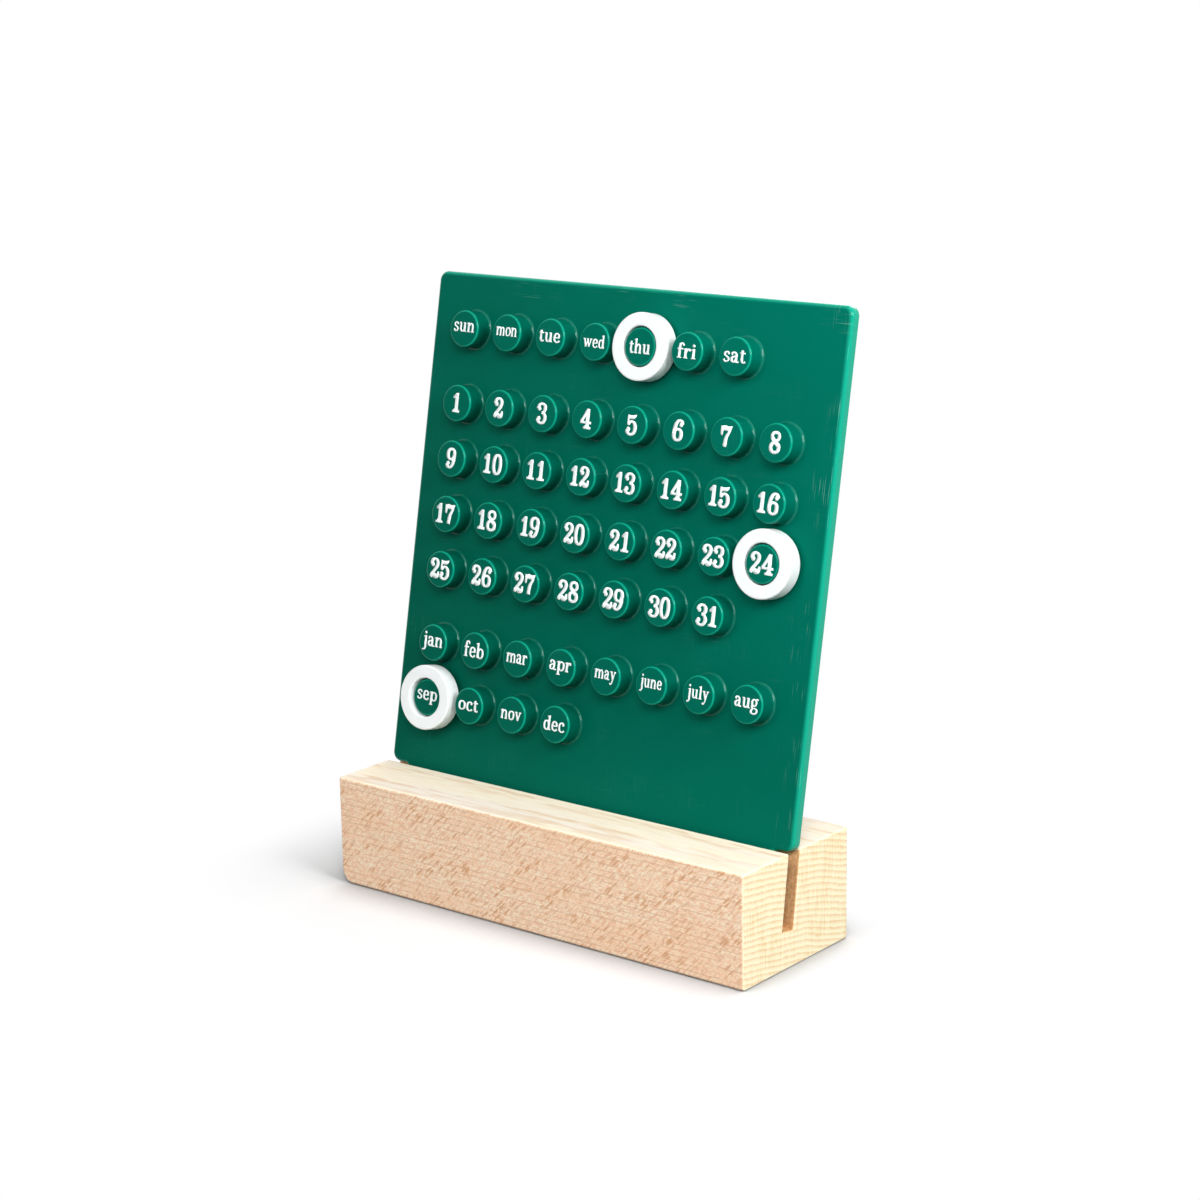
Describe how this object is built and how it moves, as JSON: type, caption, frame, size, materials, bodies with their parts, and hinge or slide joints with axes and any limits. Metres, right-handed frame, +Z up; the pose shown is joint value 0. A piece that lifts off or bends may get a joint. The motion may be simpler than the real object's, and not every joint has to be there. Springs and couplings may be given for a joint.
{
  "type": "perpetual desk calendar",
  "caption": "Perpetual desk calendar: a moulded plastic panel with rows of round studs leans in a slotted beech block, and loose white rings mark the weekday, the date and the month.",
  "frame": {"origin": "centre of the wood block's underside, on the desk", "axes": "+X along the block to the right as the calendar is read, -Y towards the reader, +Z up"},
  "size_m": [0.13, 0.0486, 0.1566],
  "materials": {
    "beech": "planed and sanded beech, bare or with a thin matt oil",
    "green_plastic": "glossy moulded plastic with fine handling marks",
    "white_plastic": "smooth satin moulded plastic",
    "white_ink": "flat white print on the stud tops"
  },
  "bodies": {
    "stand": {"wood_block": "beech"},
    "panel": {"panel_plate": "green_plastic", "stud_sun": "green_plastic", "stud_mon": "green_plastic", "stud_tue": "green_plastic", "stud_wed": "green_plastic", "stud_thu": "green_plastic", "stud_fri": "green_plastic", "stud_sat": "green_plastic", "stud_1": "green_plastic", "stud_2": "green_plastic", "stud_3": "green_plastic", "stud_4": "green_plastic", "stud_5": "green_plastic", "stud_6": "green_plastic", "stud_7": "green_plastic", "stud_8": "green_plastic", "stud_9": "green_plastic", "stud_10": "green_plastic", "stud_11": "green_plastic", "stud_12": "green_plastic", "stud_13": "green_plastic", "stud_14": "green_plastic", "stud_15": "green_plastic", "stud_16": "green_plastic", "stud_17": "green_plastic", "stud_18": "green_plastic", "stud_19": "green_plastic", "stud_20": "green_plastic", "stud_21": "green_plastic", "stud_22": "green_plastic", "stud_23": "green_plastic", "stud_24": "green_plastic", "stud_25": "green_plastic", "stud_26": "green_plastic", "stud_27": "green_plastic", "stud_28": "green_plastic", "stud_29": "green_plastic", "stud_30": "green_plastic", "stud_31": "green_plastic", "stud_jan": "green_plastic", "stud_feb": "green_plastic", "stud_mar": "green_plastic", "stud_apr": "green_plastic", "stud_may": "green_plastic", "stud_june": "green_plastic", "stud_july": "green_plastic", "stud_aug": "green_plastic", "stud_sep": "green_plastic", "stud_oct": "green_plastic", "stud_nov": "green_plastic", "stud_dec": "green_plastic"},
    "weekday_marker": {"weekday_ring": "white_plastic"},
    "date_marker": {"date_ring": "white_plastic"},
    "month_marker": {"month_ring": "white_plastic"}
  },
  "joints": [
    {"name": "panel_lift", "type": "slide", "parent": "stand", "child": "panel", "axis": [0, 0.1947, 0.9809], "range_m": [0, 0.025]},
    {"name": "weekday_ring_pull", "type": "slide", "parent": "panel", "child": "weekday_marker", "axis": [0, -0.9809, 0.1947], "range_m": [-0.0006, 0.006]},
    {"name": "date_ring_pull", "type": "slide", "parent": "panel", "child": "date_marker", "axis": [0, -0.9809, 0.1947], "range_m": [-0.0006, 0.006]},
    {"name": "month_ring_pull", "type": "slide", "parent": "panel", "child": "month_marker", "axis": [0, -0.9809, 0.1947], "range_m": [-0.0014, 0.0052]}
  ]
}
